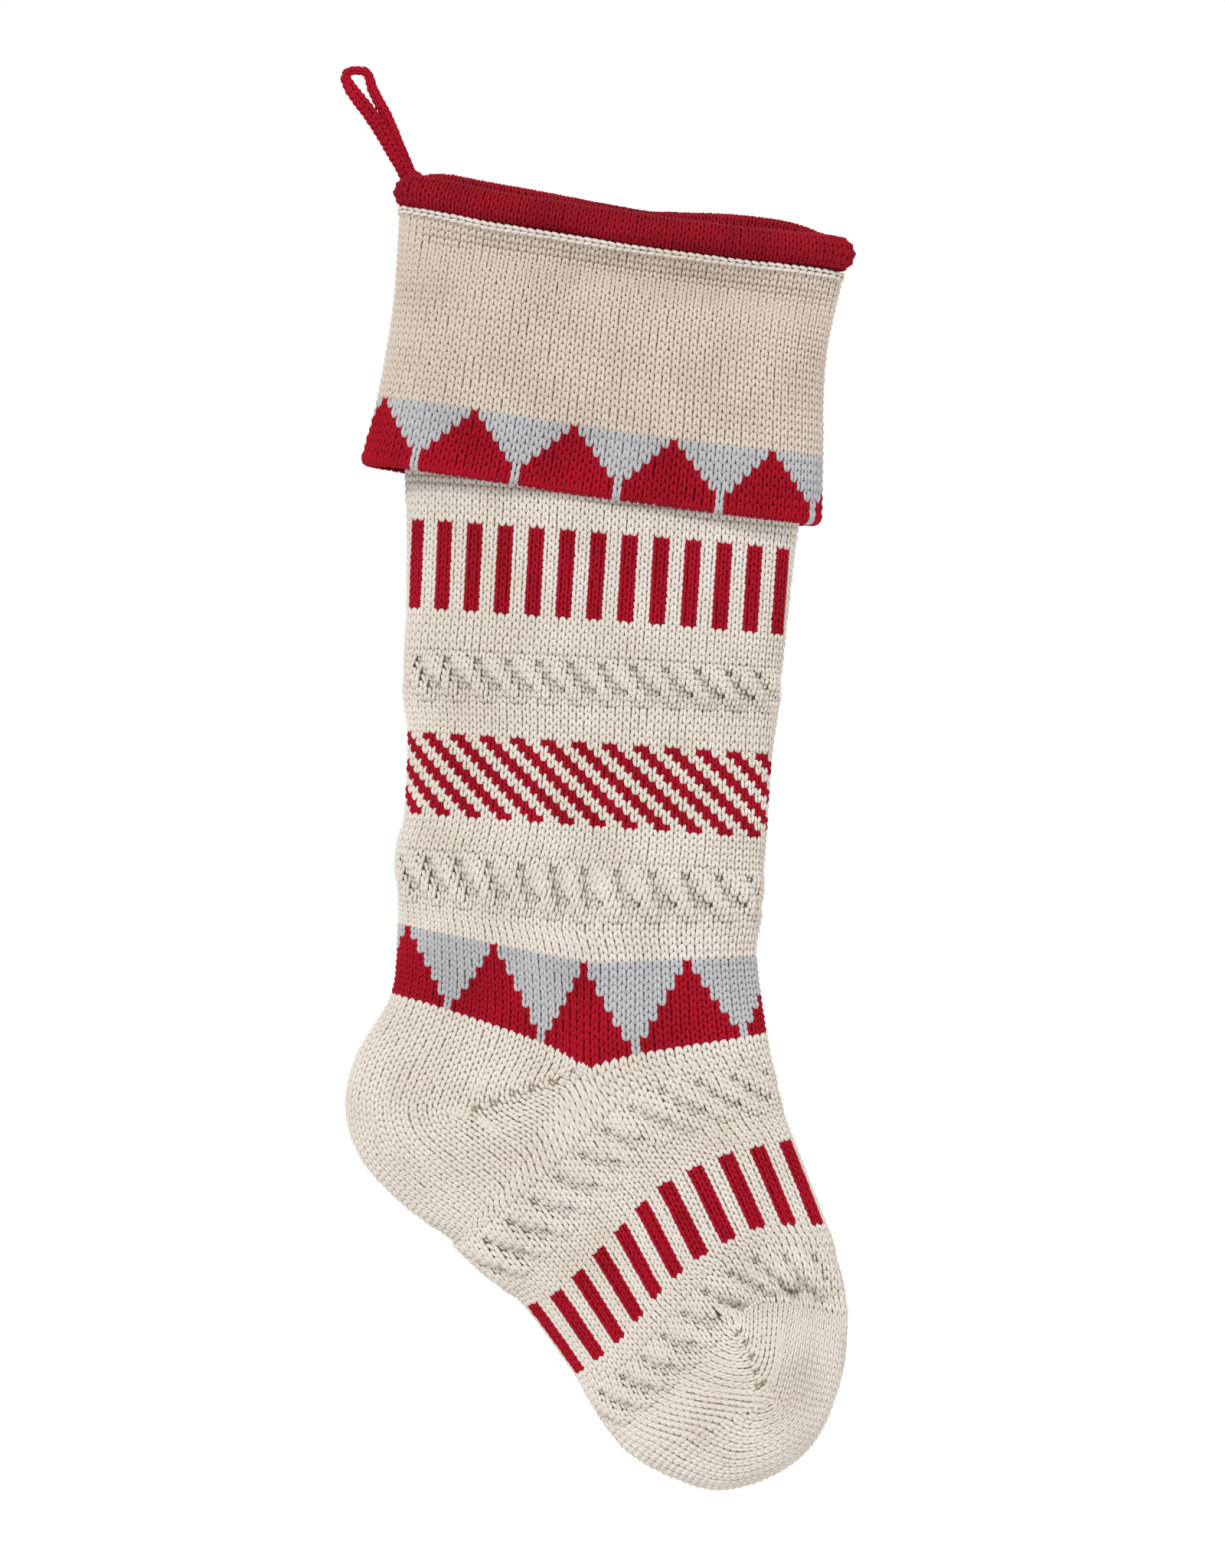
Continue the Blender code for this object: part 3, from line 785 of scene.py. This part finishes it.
def wool(name, colour, dark, fleck, sheen=0.2):
    """Matt wool: cloudy colour between two tones, flecks of fibre and a fuzzy surface."""
    material = bpy.data.materials.new(name)
    material.use_nodes = True
    nodes, links = material.node_tree.nodes, material.node_tree.links
    shader = nodes["Principled BSDF"]
    place = nodes.new("ShaderNodeTexCoord")
    cloud = noise(nodes, 45, 4, 0.5)
    fibre = noise(nodes, 1400, 3, 0.7)
    tone = tones(nodes, 0.3, dark, 0.62, colour)
    specks = tones(nodes, 0.62, (0, 0, 0), 0.74, (1, 1, 1))
    mix = nodes.new("ShaderNodeMix")
    mix.data_type = "RGBA"
    set_inputs(mix, {"B": (*fleck, 1)})
    bump = set_inputs(nodes.new("ShaderNodeBump"), {"Strength": 0.35, "Distance": 0.4 * MM})
    for start, output, end, entry in (
            (place, "Object", cloud, "Vector"), (place, "Object", fibre, "Vector"),
            (cloud, "Fac", tone, "Fac"), (fibre, "Fac", specks, "Fac"),
            (specks, "Color", mix, "Factor"), (tone, "Color", mix, "A"),
            (mix, "Result", shader, "Base Color"),
            (fibre, "Fac", bump, "Height"), (bump, "Normal", shader, "Normal")):
        links.new(start.outputs[output], end.inputs[entry])
    set_inputs(shader, {"Roughness": 0.92, "Specular IOR Level": 0.12, "Sheen Weight": sheen,
                        "Sheen Tint": (*colour, 1), "Sheen Roughness": 0.6})
    return material


# Each yarn's light tone, dark tone and flecks, in the order of CREAM, RED, GREY and so on
YARNS = [
    wool("cream_wool", (0.61, 0.565, 0.515), (0.55, 0.495, 0.435), (0.49, 0.40, 0.325)),
    wool("red_wool", (0.31, 0.0035, 0.015), (0.24, 0.0025, 0.010), (0.38, 0.018, 0.032), sheen=0.05),
    wool("grey_wool", (0.41, 0.41, 0.425), (0.35, 0.35, 0.365), (0.28, 0.28, 0.30)),
    wool("rim_wool", (0.27, 0.0045, 0.015), (0.19, 0.003, 0.010), (0.28, 0.012, 0.024), sheen=0.05),
    wool("cord_wool", (0.34, 0.005, 0.018), (0.25, 0.003, 0.012), (0.42, 0.02, 0.04), sheen=0.05),
    # The cuff's cream, darker and warmer than the leg's: painted shade over the whole cuff
    wool("cuff_wool_painted_shade", (0.55, 0.478, 0.41), (0.49, 0.415, 0.345), (0.45, 0.35, 0.27)),
]
# Darker copies of the same yarns: painted shade for the linings and cores that show between and behind the
# stitches
SHADES = [
    wool("cream_shade", (0.42, 0.335, 0.255), (0.36, 0.275, 0.20), (0.30, 0.21, 0.15)),
    wool("red_shade", (0.11, 0.003, 0.008), (0.08, 0.002, 0.006), (0.14, 0.008, 0.015), sheen=0.05),
    wool("grey_shade", (0.25, 0.25, 0.26), (0.20, 0.20, 0.21), (0.17, 0.17, 0.18)),
    wool("rim_shade", (0.07, 0.002, 0.005), (0.05, 0.002, 0.004), (0.10, 0.008, 0.012), sheen=0.05),
    wool("cord_shade", (0.12, 0.003, 0.008), (0.09, 0.002, 0.006), (0.16, 0.01, 0.02), sheen=0.05),
    wool("cuff_shade", (0.34, 0.275, 0.22), (0.28, 0.22, 0.17), (0.24, 0.18, 0.13)),
]


# Building ----------------------------------------


def build_leg_and_foot():
    """Knits every section and returns the skin that it lies on."""
    skin = Skin([leg_outline()], LEG_HALF_DEPTH)
    heel_wales = wales_of_side(heel_side_levels(), skin, HEEL_WALES, 0, 1)
    instep_wales = wales_of_side(instep_side_levels(), skin, WALES - HEEL_WALES, WALES - 1, -1)
    pieces = {}
    for node, first, last, rows in SECTIONS:
        stitches = pieces.setdefault(node, Stitches())
        knit_section(stitches, node, heel_wales, first, last, rows)
        if rows:
            instep_first = "zigzag_end" if first == "heel_to_foot" else first
            knit_section(stitches, node, instep_wales, instep_first, last, rows)
    for node, stitches in pieces.items():
        finish_piece(stitch_mesh("knit_" + node, stitches, YARNS), node)
    return skin


def finish_piece(piece, node):
    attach(piece, "stocking")
    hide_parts(node)


def whole_line(name):
    heel_side, instep_side = halves(name)
    return np.vstack([heel_side, instep_side[1:]])


def build_linings(skin):
    names = list(LEVELS)
    split = names.index("heel_to_foot")
    heel = cup_grid(halves("zigzag_end")[0], HEEL_EDGE, HEEL_GORE_END, halves("heel_to_foot")[0], skin)
    toe = cup_grid(halves("toe_top")[0], TOE_EDGE, TOE_GORE_END, halves("toe_top")[1][::-1], skin)
    lining_mesh("lining_leg", tube_rings([whole_line(n) for n in names[:split]], skin), LINING_WALL)
    lining_mesh("lining_foot", tube_rings([whole_line(n) for n in names[split:]], skin), LINING_WALL)
    lining_mesh("lining_heel", heel, LINING_WALL, closed=False)
    lining_mesh("lining_toe", toe, LINING_WALL, closed=False)


def cuff_skin():
    levels = [np.array(points) * MM for points in CUFF_LEVELS.values()]
    left = smooth_line([p[0] for p in levels])
    right = smooth_line([p[-1] for p in levels[::-1]])
    return Skin([left, right], CUFF_HALF_DEPTH)


def build_cuff():
    skin = cuff_skin()
    left_count = CUFF_WALES // 2
    split = left_count / CUFF_WALES
    lines = {n: smooth_line(np.array(points) * MM) for n, points in CUFF_LEVELS.items()}
    left = [(n, resampled(line, split * FACE_SHARES), None, 0.0) for n, line in lines.items()]
    right = [(n, resampled(line, 1 - (1 - split) * FACE_SHARES), None, 0.0) for n, line in lines.items()]
    wales = wales_of_side(left, skin, left_count, 0, 1)
    wales += wales_of_side(right, skin, CUFF_WALES - left_count, CUFF_WALES - 1, -1)
    pieces = {}
    for node, first, last, rows in CUFF_SECTIONS:
        stitches = pieces.setdefault(node, Stitches())
        knit_section(stitches, node, wales, first, last, rows)
    add_ridge(pieces["cuff_panel"], wales)
    add_hem(pieces["cuff_zigzag"], wales)
    for node, stitches in pieces.items():
        finish_piece(stitch_mesh("knit_" + node, stitches, YARNS), node)
    lining_mesh("lining_cuff", tube_rings(list(lines.values()), skin), CUFF_LINING_WALL)


RIDGE_SLOPE, RIDGE_OUT, RIDGE_UP = -0.15, 0.9 * MM, 0.4 * MM
RIDGE_BEAD, RIDGE_LENGTH = 3.0 * MM, 0.78  # a bead's width, and its length as a share of a wale's width


def add_ridge(stitches, wales):
    """A raised row of beads right under the rim, where the red yarn was picked up."""
    along = unit(np.array([1.0, 0.0, RIDGE_SLOPE]))
    for _, wale in wales:
        for face in (FRONT, BACK):
            turn = np.array([1.0, face, 1.0])
            n = wale.normal[0] * turn
            place = wale.solid[0] * turn + n * RIDGE_OUT
            place[2] += RIDGE_UP + (back_lift(place[0], place[2]) if face == BACK else 0)
            d = unit(along - n * (along @ n))
            stitches.add(place, d, n, RIDGE_BEAD, wale.width[0] * RIDGE_LENGTH, CREAM, 1.1)


HEM_TURN, HEM_IN, HEM_DOWN, HEM_STITCH = 1.3, 1.2 * MM, 0.5 * MM, 3.0 * MM


def add_hem(stitches, wales):
    """The hem's fold: a row of stitches that turns under the cuff."""
    last_row = CUFF_SECTIONS[-1][-1] - 1
    for index, wale in wales:
        along = unit(wale.solid[-1] - wale.solid[-4])
        for face in (FRONT, BACK):
            turn = np.array([1.0, face, 1.0])
            n, d = wale.normal[-1] * turn, along * turn
            under = unit(n + HEM_TURN * d)
            inwards = d - HEM_TURN * n
            inwards = unit(inwards - under * (inwards @ under))
            place = wale.solid[-1] * turn - n * HEM_IN + d * HEM_DOWN
            colour = yarn("cuff_zigzag", index, last_row)
            stitches.add(place, inwards, under, wale.width[-1], HEM_STITCH, colour)


# Rim, loop and tack ------------------------------


def rim_line(count):
    """The rim's closed centre line, resampled to even steps."""
    turn = np.linspace(0, 2 * math.pi, 721)
    across = np.sign(np.cos(turn)) * np.abs(np.cos(turn)) ** (2 / RIM_SQUARENESS)
    depth = np.sign(np.sin(turn)) * np.abs(np.sin(turn)) ** (2 / RIM_SQUARENESS)
    middle, half = (RIM_LEFT[0] + RIM_RIGHT[0]) / 2, (RIM_RIGHT[0] - RIM_LEFT[0]) / 2
    x = middle + half * across
    z = rim_height(x) + np.maximum(depth, 0) * rim_back_lift(x)
    pinch = np.where(depth > 0, PINCH * np.exp(-(((rim_share(x) - PINCH_SHARE) / PINCH_WIDTH) ** 2)), 0)
    line = np.stack([x, RIM_HALF_DEPTH * depth * (1 - pinch), z], axis=1)
    return resampled(line, np.arange(count) / count)


def tangents(line, closed):
    """Unit tangents of a line, wrapped round if it is closed."""
    if closed:
        tangent = np.roll(line, -1, axis=0) - np.roll(line, 1, axis=0)
    else:
        tangent = np.gradient(line, axis=0)
    return unit(tangent)


def build_rim():
    """The rolled rim: wales that run round the roll, side by side all along the mouth."""
    columns, rows, core_share = 124, 13, 0.9
    line = rim_line(columns)
    tangent = tangents(line, True)[:, None]
    up = unit(np.array([0.0, 0.0, 1.0]) - tangent * tangent[..., 2:3])
    side = np.cross(tangent, up)
    turn = 2 * math.pi * np.arange(rows)[None, :, None] / rows
    cos, sin = np.cos(turn), np.sin(turn)
    place = line[:, None] + side * ROLL_WIDTH * cos + up * ROLL_HEIGHT * sin
    down = unit(-side * ROLL_WIDTH * sin + up * ROLL_HEIGHT * cos)
    normal = unit(side * cos / ROLL_WIDTH + up * sin / ROLL_HEIGHT)
    width = np.linalg.norm(np.roll(place, -1, axis=0) - np.roll(place, 1, axis=0), axis=2) / 2
    height = 2 * math.pi * ROLL_HEIGHT / rows
    stitches = Stitches()
    for k in range(columns):
        for row in range(rows):
            stitches.add(place[k, row], down[k, row], normal[k, row], width[k, row], height, RIM_RED)
    piece = stitch_mesh("knit_rim", stitches, YARNS)
    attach(piece, "stocking")
    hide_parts("rim_binding")
    rings = line[:, None] + core_share * (place - line[:, None])
    # The roll's core takes the rim's painted-shade copy: a darker red that shows as shade between the
    # stitches
    core = tube_mesh("core_rim", rings, True, SHADES[RIM_RED])
    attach(core, "stocking")


def tube_mesh(name, rings, closed, material):
    """A tube's skin through rings of points, with its ends capped if it is open."""
    count, sides = rings.shape[:2]
    faces = []
    for r in range(count if closed else count - 1):
        after = (r + 1) % count
        for c in range(sides):
            n = (c + 1) % sides
            faces.append((r * sides + c, after * sides + c, after * sides + n, r * sides + n))
    if not closed:
        faces.append(tuple(range(sides)))
        faces.append(tuple(range(count * sides - 1, (count - 1) * sides - 1, -1)))
    mesh = bpy.data.meshes.new(name)
    mesh.from_pydata(rings.reshape(-1, 3).tolist(), [], faces)
    mesh.shade_smooth()
    return piece_of(mesh, [material])


# The loop's centre line, (x, y, z, radius) in mm: up its left strand, over the eye, down the right one
LOOP = [
    (20.2, -0.4, -42.0, 2.3), (18.2, -0.5, -37.3, 2.4), (13.1, -0.5, -28.0, 2.6), (6.6, -0.4, -17.2, 2.6),
    (0.5, -0.2, -9.2, 2.5), (-3.0, 0, -4.4, 2.3), (-4.9, 0, -0.2, 1.9), (-3.9, 0, 1.9, 1.7),
    (-0.8, 0, 2.6, 1.6), (2.9, 0, 2.0, 1.7), (4.7, 0, -0.6, 1.8), (5.7, 0, -4.6, 1.9),
    (8.0, 0.2, -9.2, 2.0), (12.2, 0.5, -17.2, 2.0), (16.8, 0.9, -28.0, 1.9), (20.9, 0.8, -37.3, 1.8),
    (22.9, 0.6, -42.0, 1.8),
]
LOOP_ROW, LOOP_STITCH_INSET, LOOP_CORE_INSET = 2.5 * MM, 0.5 * MM, 0.8 * MM


def build_loop():
    """The hanging loop: a narrow knitted cord, folded in two over the nail."""
    line = smooth_line(np.array(LOOP) * MM, 12)
    lengths = lengths_of(line[:, :3])
    rows = round(lengths[-1] / LOOP_ROW)
    height = lengths[-1] / rows
    centre = at_lengths(line, lengths, (np.arange(rows) + 0.5) * height)
    stitches, around = Stitches(), 5
    tangent = tangents(centre[:, :3], False)
    front = np.array([0.0, -1.0, 0.0])
    for k in range(rows):
        side = unit(np.cross(tangent[k], front))
        radius = centre[k, 3]
        for strand in range(around):
            turn = 2 * math.pi * (strand + 0.25) / around
            normal = front * math.cos(turn) + side * math.sin(turn)
            normal = unit(normal - tangent[k] * (normal @ tangent[k]))
            place = centre[k, :3] + normal * (radius - LOOP_STITCH_INSET)
            stitches.add(place, tangent[k], normal, 2 * math.pi * radius / around, height, CORD_RED)
    piece = stitch_mesh("knit_loop", stitches, YARNS)
    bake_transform(piece)
    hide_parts("hanging_loop")
    dense = at_lengths(line, lengths, np.linspace(0, lengths[-1], 3 * rows))
    tangent = tangents(dense[:, :3], False)
    turns = 2 * math.pi * np.arange(10)[:, None] / 10
    rings = []
    for k in range(len(dense)):
        side = unit(np.cross(tangent[k], front))
        over = np.cross(side, tangent[k])
        out = side * np.cos(turns) + over * np.sin(turns)
        rings.append(dense[k, :3] + (dense[k, 3] - LOOP_CORE_INSET) * out)
    # The cord's core is a darker red copy of its yarn: painted shade between the stitches
    core = tube_mesh("core_loop", np.array(rings), False, SHADES[CORD_RED])
    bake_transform(core)


def build_tack():
    """The knot of stitches that sews the loop to the rim."""
    centre = np.array([21.9, 0.0, -40.6]) * MM
    axes = np.array([3.8, 3.6, 2.8]) * MM
    bead, bead_share, core_share = 2.3 * MM, 0.85, 0.86
    stitches = Stitches()
    for ring in range(5):
        tilt = math.pi * (ring + 0.5) / 5
        count = max(3, round(9 * math.sin(tilt)))
        for k in range(count):
            turn = 2 * math.pi * (k + 0.5 * (ring % 2)) / count
            outward = np.array([0.0, math.cos(turn), math.sin(turn)])
            normal = outward * math.sin(tilt) + np.array([math.cos(tilt), 0.0, 0.0])
            around = np.array([0.0, -math.sin(turn), math.cos(turn)])
            stitches.add(centre + axes * normal * bead_share, around, normal, bead, bead, CORD_RED, 1.1)
    piece = stitch_mesh("knit_tack", stitches, YARNS)
    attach(piece, "tack")
    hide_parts("loop_tack")
    # The knot's core is a darker red copy of its yarn: painted shade between the beads
    bpy.ops.mesh.primitive_uv_sphere_add(segments=16, ring_count=10, radius=1, location=centre)
    core = bpy.context.object
    core.name = "core_tack"
    core.scale = axes * core_share
    core.data.materials.append(SHADES[CORD_RED])
    core.data.shade_smooth()
    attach(core, "tack")


# Studio ------------------------------------------


VIEW_HEIGHT, LENS, SENSOR = 0.6261, 100, 36  # height in metres that the view spans; lens and sensor in mm
FLOOR_HEIGHT = -0.82  # low enough for its shadows to stay out of the view


def build_camera():
    camera = bpy.data.objects.new("camera", bpy.data.cameras.new("camera"))
    bpy.context.scene.collection.objects.link(camera)
    bpy.context.scene.camera = camera
    camera.data.lens = LENS
    camera.data.clip_end = 50
    target = Vector((102.7, 0.0, -285.2)) * MM
    distance = VIEW_HEIGHT * LENS / SENSOR + LEG_HALF_DEPTH
    camera.location = target + Vector((0, -distance, 0))
    camera.rotation_euler = (math.pi / 2, 0, 0)


def sun(name, towards, strength, softness, colour):
    """A sun that shines towards a direction; its softness is its angle in degrees."""
    light = bpy.data.objects.new(name, bpy.data.lights.new(name, "SUN"))
    bpy.context.scene.collection.objects.link(light)
    light.data.energy = strength
    light.data.color = colour
    light.data.angle = math.radians(softness)
    light.rotation_euler = Vector(towards).to_track_quat("-Z", "Y").to_euler()


def build_light():
    """A white studio: the surround is seen as pure white and lights the object a little less."""
    scene = bpy.context.scene
    scene.view_settings.view_transform = "Standard"
    world = bpy.data.worlds.new("studio")
    scene.world = world
    world.use_nodes = True
    nodes, links = world.node_tree.nodes, world.node_tree.links
    seen, output = nodes["Background"], nodes["World Output"]
    set_inputs(seen, {"Color": (1, 1, 1, 1), "Strength": 1.0})
    lit = nodes.new("ShaderNodeBackground")
    set_inputs(lit, {"Color": (1, 0.955, 0.90, 1), "Strength": 0.44})
    path = nodes.new("ShaderNodeLightPath")
    mix = nodes.new("ShaderNodeMixShader")
    links.new(path.outputs["Is Camera Ray"], mix.inputs["Fac"])
    links.new(lit.outputs["Background"], mix.inputs[1])
    links.new(seen.outputs["Background"], mix.inputs[2])
    links.new(mix.outputs["Shader"], output.inputs["Surface"])
    sun("key", (0.30, 0.68, -0.66), 2.75, 18, (0.975, 0.99, 1.0))
    sun("fill", (-0.80, 0.55, 0.10), 0.35, 60, (1.0, 0.90, 0.80))
    sun("side", (-1.0, 0.12, -0.15), 0.9, 40, (0.92, 0.96, 1.0))
    sun("back", (0.2, -0.9, -0.4), 1.7, 60, (1.0, 1.0, 1.0))


def build_floor():
    bpy.ops.mesh.primitive_circle_add(vertices=96, radius=6, fill_type="NGON", location=(0, 0, FLOOR_HEIGHT))
    floor = bpy.context.object
    floor.name = "floor"
    material = bpy.data.materials.new("floor_paint")
    material.use_nodes = True
    set_inputs(material.node_tree.nodes["Principled BSDF"], {
        "Base Color": (0.95, 0.95, 0.95, 1), "Roughness": 0.9,
        "Emission Color": (1, 1, 1, 1), "Emission Strength": 0.12})
    floor.data.materials.append(material)


build_camera()
build_cuff()
build_linings(build_leg_and_foot())
build_rim()
build_loop()
build_tack()
build_light()
build_floor()
